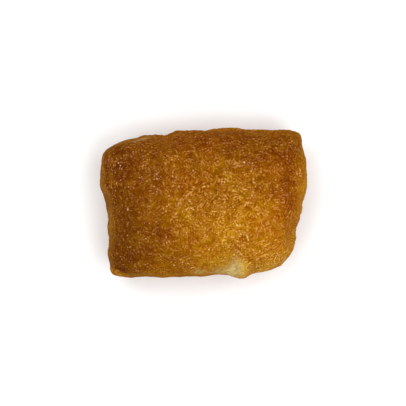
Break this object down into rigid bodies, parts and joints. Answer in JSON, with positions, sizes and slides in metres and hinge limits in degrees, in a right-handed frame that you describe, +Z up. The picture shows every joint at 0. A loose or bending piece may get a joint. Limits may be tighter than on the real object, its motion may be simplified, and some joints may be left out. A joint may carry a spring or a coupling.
{
  "type": "inari sushi",
  "caption": "Pouch of seasoned fried tofu packed with sushi rice, laid on its folded mouth, eaten by hand or with chopsticks.",
  "frame": {"origin": "below the middle of the pouch, on the plane that it rests on", "axes": "+Z up, +X along the pouch towards its fuller end, +Y towards the closed back edge, away from the folded mouth"},
  "size_m": [0.066, 0.0482, 0.026],
  "materials": {
    "fried_tofu": "moist, finely wrinkled golden brown fried tofu skin with a soft oily sheen"
  },
  "bodies": {
    "root": {"tofu_pouch": "fried_tofu"}
  },
  "joints": []
}
